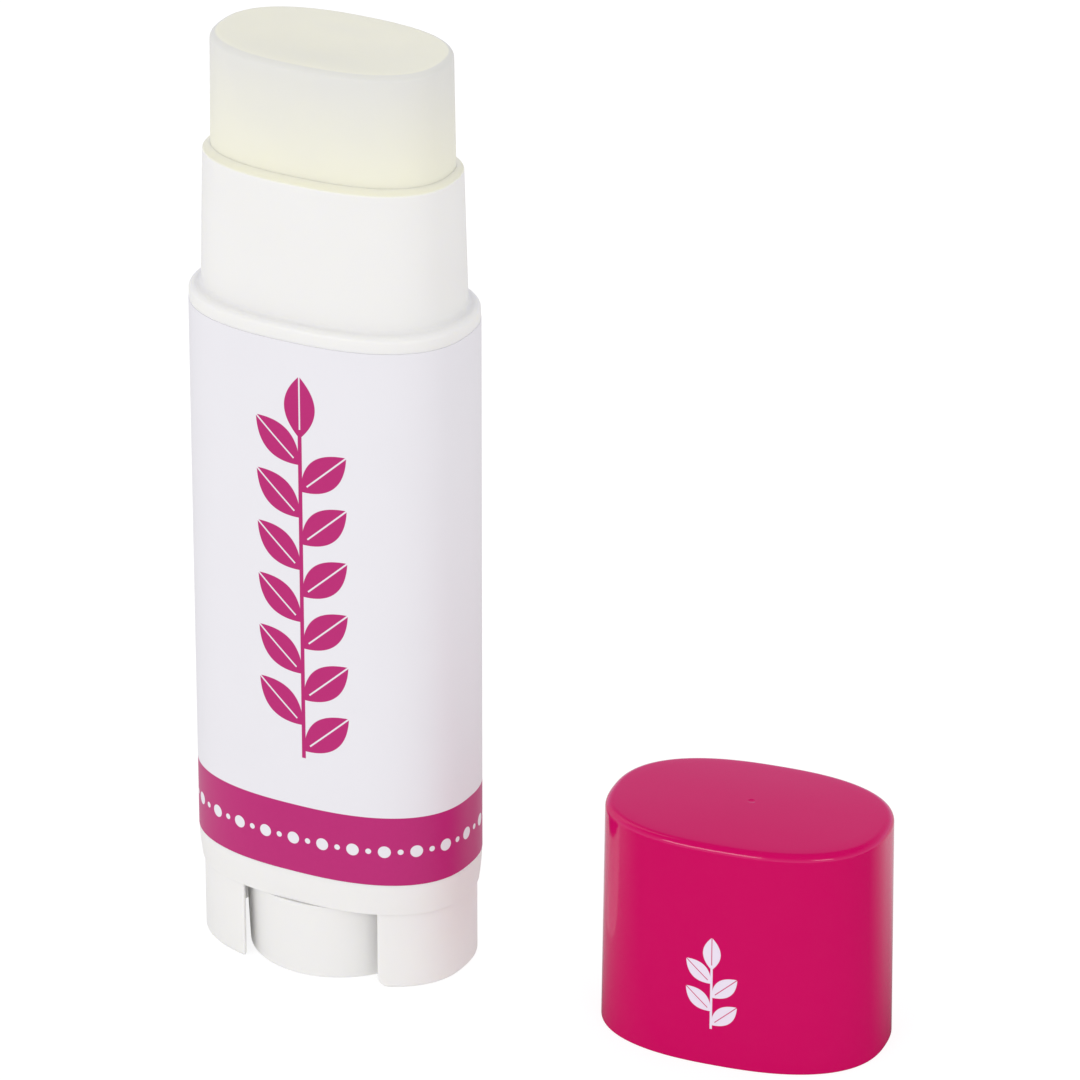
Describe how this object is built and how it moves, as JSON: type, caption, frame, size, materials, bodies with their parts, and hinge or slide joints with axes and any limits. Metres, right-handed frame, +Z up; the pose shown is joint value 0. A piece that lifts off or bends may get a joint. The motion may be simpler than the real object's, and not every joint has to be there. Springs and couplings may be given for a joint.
{
  "type": "lip balm stick",
  "caption": "Twist-up oval lip balm stick with a thumbwheel between its legs, a left-hand drive screw that lifts the balm on its carrier, and a pull-off cap standing beside it.",
  "frame": {"origin": "on the stick's own axis, at the underside of the thumbwheel, level with the floor that the stick stands on", "axes": "+Z up along the stick, +X along the long axis of the oval towards the cap that stands beside it, +Y towards the back wide face with the label seam"},
  "size_m": [0.0546, 0.0169, 0.0728],
  "materials": {
    "barrel_plastic": "white polypropylene, satin gloss, slightly see-through at thin edges",
    "label_film": "white printed film, satin, with a deep pink band at the foot",
    "wheel_plastic": "white polypropylene, satin",
    "carrier_plastic": "white polypropylene, as moulded",
    "balm_wax": "off-white wax, soft satin",
    "cap_plastic": "deep pink polypropylene, glossy"
  },
  "bodies": {
    "barrel": {"barrel": "barrel_plastic", "label": "label_film"},
    "wheel": {"thumbwheel_screw": "wheel_plastic"},
    "carrier": {"carrier": "carrier_plastic", "balm": "balm_wax"},
    "cap": {"cap": "cap_plastic"}
  },
  "joints": [
    {"name": "wheel_turn", "type": "hinge", "parent": "barrel", "child": "wheel", "pos_m": [0, 0, 0.003], "axis": [0, 0, 1], "range_deg": [-869, 2700.5]},
    {"name": "carrier_lift", "type": "slide", "parent": "barrel", "child": "carrier", "axis": [0, 0, 1], "range_m": [-0.00965, 0.03]},
    {"name": "cap_lift", "type": "slide", "parent": "barrel", "child": "cap", "axis": [0, 0, 1], "range_m": [0, 0.01051]}
  ],
  "couplings": [
    {"joint": "wheel_turn", "follows": "carrier_lift", "rad_per_m": 1570.8}
  ]
}
